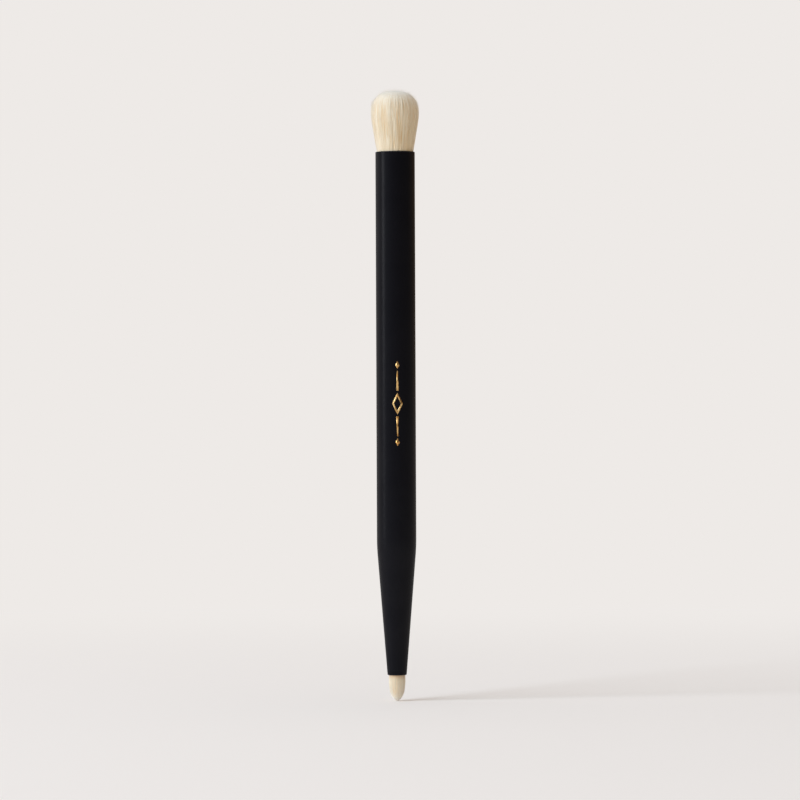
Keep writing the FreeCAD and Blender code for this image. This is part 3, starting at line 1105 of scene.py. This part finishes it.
    def map_strips(self, mesh: Mesh, clump: np.ndarray) -> None:
        """Lay every fibre on one of the upright strips of the bake map, root at the bottom.

        Args:
            mesh: The swept fibres, whose own map runs along and round each fibre.
            clump: Number of the clump that each fibre belongs to, whose fibres share a strip.
        """
        layer = mesh.uv_layers[0]
        layer.name = BAKE_MAP
        own = np.empty(2 * len(mesh.loops), np.float32)
        layer.data.foreach_get("uv", own)
        along, round_it = own.reshape(-1, 2).T
        strip = np.random.default_rng(self.seed).integers(0, TONE_STRIPS, self.clumps)[clump]
        strip = np.repeat(strip, len(mesh.loops) // len(clump))
        across = (strip + self.map_margin + (1 - 2 * self.map_margin) * round_it) / TONE_STRIPS
        layer.data.foreach_set("uv", np.stack([across, along], axis=1).astype(np.float32).ravel())

    @staticmethod
    def close_ends(mesh: Mesh) -> None:
        """Merge each fibre's pointed ends, so that every fibre is closed and faces outwards.

        Args:
            mesh: The swept fibres.
        """
        bm = bmesh.new()
        bm.from_mesh(mesh)
        weld(bm, TIP_WELD)
        bm.to_mesh(mesh)
        bm.free()

    def heart(self) -> Mesh:
        """Spin the closed mass of packed fibres that fills the tuft under the loose ones.

        Returns:
            The mesh of the mass.
        """
        top = self.length - self.heart_sink
        flank = np.linspace(0.0, top - self.crown_drop, self.heart_rings, endpoint=False)
        reach = np.cos(np.linspace(0.0, QUARTER_TURN, self.heart_rings))
        travel = np.concatenate([flank, top - self.dome(reach)])
        rise = np.clip((travel - self.mouth) / (top - self.mouth), 0.0, 1.0)
        drawn_in = self.heart_share - self.heart_inset * rise
        share = drawn_in * np.concatenate([np.ones(self.heart_rings), reach])
        radius = share * smooth_curve(self.outline, travel)
        corners = [(0.0, self.root), *zip(radius.tolist(), self.height_at(travel).tolist())]
        bm = spin_section(corners, self.heart_facets, closed=False)
        for vert in bm.verts:
            angle = np.arctan2(vert.co.y, vert.co.x)
            swell = float(self.ridges(angle, abs(vert.co.z - self.root)))
            vert.co.xy = vert.co.xy * swell
        return to_mesh(bm, f"{self.node}_heart")

    @staticmethod
    def let_light_pass(fibres: bpy.types.Object) -> None:
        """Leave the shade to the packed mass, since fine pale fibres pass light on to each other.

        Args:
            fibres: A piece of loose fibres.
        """
        fibres.visible_shadow = False
        fibres.visible_diffuse = False
        fibres.visible_transmission = False

    def build(self) -> None:
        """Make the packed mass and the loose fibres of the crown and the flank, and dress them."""
        end = self.height_at(self.mouth)
        packed = PackedFibre(name=f"{self.node}_packed", tones=self.tones, mouth=end, crown=self.crown)
        add_piece(self.heart(), packed.material(), self.node)
        points, taper, clump = self.paths()
        crown = slice(None, self.crown_fibres)
        flank = slice(self.crown_fibres, None)
        for part, own, glow in (("crown", crown, self.crown_glow), ("flank", flank, self.flank_glow)):
            name = f"{self.node}_{part}"
            finish = CreamFibre(name=f"{name}_fibre", tones=self.tones, passed_light=glow).material()
            fibres = self.sweep(name, points[own], taper, clump[own])
            self.let_light_pass(add_piece(fibres, finish, self.node))


@dataclass
class ThreadBinding:
    """The thread that ties the root of a tuft, wound side by side round the fibres."""

    node: str
    section_sides: int = 10
    steps_per_turn: int = 40

    def shape(self) -> BMesh:
        """Wind the thread inside the band that the CAD node takes up.

        Returns:
            The finished bmesh.
        """
        radius = THREAD_WIDTH / 2
        climb = high(self.node) - low(self.node) - THREAD_WIDTH
        turns = climb / THREAD_WIDTH
        steps = round(turns * self.steps_per_turn)
        start = Matrix.Translation((girth(self.node) - radius, 0.0, low(self.node) + radius))
        upright = start @ Matrix.Rotation(QUARTER_TURN, 4, "X")
        bm = bmesh.new()
        bmesh.ops.create_circle(bm, segments=self.section_sides, radius=radius, matrix=upright)
        bmesh.ops.spin(
            bm, geom=bm.verts[:] + bm.edges[:], cent=ORIGIN, axis=AXIS, angle=FULL_TURN * turns, steps=steps,
            dvec=(0, 0, climb / steps))
        bmesh.ops.holes_fill(bm, edges=bm.edges[:])
        bmesh.ops.recalc_face_normals(bm, faces=bm.faces[:])
        return bm

    def build(self, finish: Material) -> None:
        """Make the winding and let it stand for the CAD node."""
        add_piece(to_mesh(self.shape(), f"{self.node}_thread"), finish, self.node)


@dataclass
class InnerPieces:
    """The core, the sleeves and the root plugs keep their CAD shapes; the bindings are wound from thread."""

    core: tuple[str, ...] = ("core_dowel",)
    sleeves: tuple[str, ...] = ("blending_cup", "smudger_cup")
    plugs: tuple[str, ...] = ("blending_root_plug", "smudger_root_plug")
    bindings: tuple[str, ...] = ("blending_root_binding", "smudger_root_binding")

    @staticmethod
    def dress(nodes: tuple[str, ...], finish: Material) -> None:
        """Lay a finish on CAD nodes.

        Args:
            nodes: Names of the nodes.
            finish: Their material.
        """
        for node in nodes:
            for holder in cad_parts[node].material_slots:
                holder.material = finish
            log.info("%s: dressed in %s", node, finish.name)

    def build(self) -> None:
        """Dress the CAD nodes and wind the threads."""
        self.dress(self.core, TURNED_WOOD.material())
        self.dress(self.sleeves, DRAWN_ALUMINIUM.material())
        self.dress(self.plugs, AMBER_RESIN.material())
        thread = WAXED_THREAD.material()
        for binding in self.bindings:
            ThreadBinding(binding).build(thread)


@dataclass
class PhotoCamera:
    """A level camera in front of the brush, framed as the photograph is."""

    image_width: int = 800
    metres_per_pixel: float = 0.2107 * MM
    distance: float = 0.8
    eye_height: float = 63.4 * MM
    sideways: float = 0.83 * MM
    roll: float = math.radians(0.23)
    sensor: float = 36.0

    def build(self) -> None:
        """Make the camera and give it to the scene."""
        data = bpy.data.cameras.new("photo_camera")
        data.sensor_width = self.sensor
        data.lens = self.sensor * self.distance / (self.image_width * self.metres_per_pixel)
        camera = put_in_scene(data)
        camera.location = (self.sideways, -self.distance, self.eye_height)
        camera.rotation_euler = (QUARTER_TURN, self.roll, 0.0)
        bpy.context.scene.camera = camera


@dataclass(frozen=True)
class SoftLamp:
    """A rectangular lamp that faces the brush; its bearing is measured from the camera's side to the left."""

    name: str
    bearing: float
    elevation: float
    distance: float
    width: float
    height: float
    power: float
    colour: Colour
    aim_height: float = 70 * MM

    def build(self) -> None:
        """Hang the lamp."""
        data = bpy.data.lights.new(self.name, "AREA")
        data.shape = "RECTANGLE"
        data.size = self.width
        data.size_y = self.height
        data.energy = self.power
        data.color = self.colour
        level = math.cos(self.elevation)
        away = Vector((
            -math.sin(self.bearing) * level,
            -math.cos(self.bearing) * level,
            math.sin(self.elevation),
        ))
        lamp = put_in_scene(data)
        lamp.location = Vector((0, 0, self.aim_height)) + away * self.distance
        lamp.rotation_euler = away.to_track_quat("Z", "Y").to_euler()


@dataclass
class Studio:
    """Pale floor and surroundings, a large bluish lamp at the front left and a dim strip beside the brush."""

    backdrop: Colour = srgb(238, 234, 231)
    warm_side: Colour = srgb(230, 176, 100)
    room: float = 0.05
    overhead: float = 0.82
    right_level: float = 0.4
    wall_edge: Range = (-0.2, 0.4)
    ceiling_edge: Range = (0.3, 0.9)
    right_edge: Range = (-0.1, 0.7)
    right_top: Range = (0.75, 0.25)
    floor_radius: float = 6.0
    floor_sides: int = 96
    lamps: tuple[SoftLamp, ...] = (
        SoftLamp(
            "soft_lamp", bearing=math.radians(55), elevation=math.radians(35), distance=6.0, width=3.3,
            height=3.6, power=238.0, colour=(0.78, 0.89, 1.0)),
        SoftLamp(
            "side_strip", bearing=math.radians(76), elevation=math.radians(16), distance=0.8, width=0.14,
            height=0.5, power=1.35, colour=(0.92, 0.95, 1.0)),
    )

    def build_world(self) -> None:
        """Surround the scene with a pale wall behind the brush, a pale ceiling and a dim room in front.

        Low on the right the light is dim and warm. The camera sees the wall's colour wherever it looks.
        """
        world = bpy.data.worlds.new("studio")
        world.use_nodes = True
        world.node_tree.nodes.clear()
        sheet = NodeSheet(world.node_tree)
        right, back, up = sheet.split(sheet.add("TexCoord").outputs["Generated"])
        wall = sheet.span(back, self.wall_edge, (self.room, 1.0))
        ceiling = sheet.span(up, self.ceiling_edge, (0.0, self.overhead))
        side = sheet.calc("MULTIPLY", sheet.span(right, self.right_edge), sheet.span(up, self.right_top))
        dimmed = sheet.span(side, WHOLE_RANGE, (1.0, self.right_level))
        brightness = sheet.calc("MULTIPLY", sheet.calc("MAXIMUM", wall, ceiling), dimmed)
        seen = sheet.add("LightPath").outputs["Is Camera Ray"]
        warmth = sheet.calc("MULTIPLY", side, sheet.calc("SUBTRACT", 1.0, seen))
        light = sheet.add("Background", {
            "Color": sheet.blend(warmth, self.backdrop, self.warm_side),
            "Strength": sheet.calc("MAXIMUM", brightness, seen),
        })
        sheet.add("OutputWorld", {"Surface": light.outputs[0]})
        bpy.context.scene.world = world

    def build_floor(self) -> None:
        """Lay the round floor and give it the studio paper."""
        bm = bmesh.new()
        bmesh.ops.create_circle(bm, cap_ends=True, segments=self.floor_sides, radius=self.floor_radius)
        floor = put_in_scene(to_mesh(bm, "studio_floor"))
        floor.data.materials.append(StudioPaper(name="studio_paper", backdrop=self.backdrop).material())

    def build(self) -> None:
        """Set up the floor, the light and the view settings."""
        self.build_world()
        self.build_floor()
        for lamp in self.lamps:
            lamp.build()
        bpy.context.scene.view_settings.view_transform = "Standard"


def blending_tuft() -> FibreTuft:
    """The large fluffy tuft at the barrel's mouth.

    Returns:
        The tuft, ready to build.
    """
    root = low("blending_tuft")
    mouth = high("barrel") - root
    return FibreTuft(
        node="blending_tuft",
        binding="blending_root_binding",
        pointing=Pointing.UP,
        crown_fibres=2000,
        flank_fibres=480,
        fibre_radius=0.04 * MM,
        clumps=300,
        clump_pull=0.08,
        bend=0.03,
        crown_drop=3.6 * MM,
        crown_power=2.8,
        silhouette=[
            (mouth, 3.87 * MM),
            (mouth + 4.0 * MM, 4.55 * MM),
            (mouth + 7.4 * MM, 5.05 * MM),
            (mouth + 10.6 * MM, 4.95 * MM),
            (mouth + 13.85 * MM, 4.75 * MM),
        ],
        mouth=mouth,
        free_points=8,
        seed=11,
        # The tip colour is partly painted light on the crown.
        tones=BristleTones(
            root=srgb(244, 230, 204), middle=srgb(249, 242, 225), tip=srgb(252, 247, 236),
            shade=srgb(226, 198, 154)),
        heart_sink=1.0 * MM,
        heart_inset=0.05,
        ridge_depth=0.013,
        ridge_counts=(13, 22, 37, 59),
    )


def smudger_tuft() -> FibreTuft:
    """The small dense tuft at the nose.

    Returns:
        The tuft, ready to build.
    """
    root = high("smudger_tuft")
    mouth = root - low("barrel")
    return FibreTuft(
        node="smudger_tuft",
        binding="smudger_root_binding",
        pointing=Pointing.DOWN,
        crown_fibres=500,
        flank_fibres=160,
        fibre_radius=0.03 * MM,
        clumps=100,
        clump_pull=0.1,
        bend=0.02,
        crown_drop=2.1 * MM,
        crown_power=2.4,
        silhouette=[
            (mouth, 1.69 * MM),
            (mouth + 0.7 * MM, 1.74 * MM),
            (mouth + 2.8 * MM, 1.63 * MM),
            (mouth + 5.48 * MM, 1.2 * MM),
        ],
        mouth=mouth,
        free_points=6,
        seed=23,
        # The root colour is partly the fibres' warmer root and partly painted shade under the barrel's rim; the
        # pale tip colour is partly painted light where the tip faces the floor.
        tones=BristleTones(
            root=srgb(240, 203, 160), middle=srgb(255, 241, 214), tip=srgb(255, 249, 236),
            shade=srgb(248, 217, 170)),
        heart_sink=0.12 * MM,
        heart_inset=0.03,
        ridge_depth=0.01,
        ridge_counts=(9, 15, 26),
    )


def main() -> None:
    """Build the studio, then the brush piece by piece."""
    logging.basicConfig(level=logging.INFO, format="%(name)s %(message)s")
    for make_effect in (make_speckle, make_drawn_grain, make_fibre_tone):
        make_effect()
    PhotoCamera().build()
    Studio().build()
    barrel = BarrelShell()
    barrel.build()
    FoilOrnament(barrel_radius=barrel.radius).build()
    InnerPieces().build()
    blending_tuft().build()
    smudger_tuft().build()


if __name__ == "__main__":
    main()
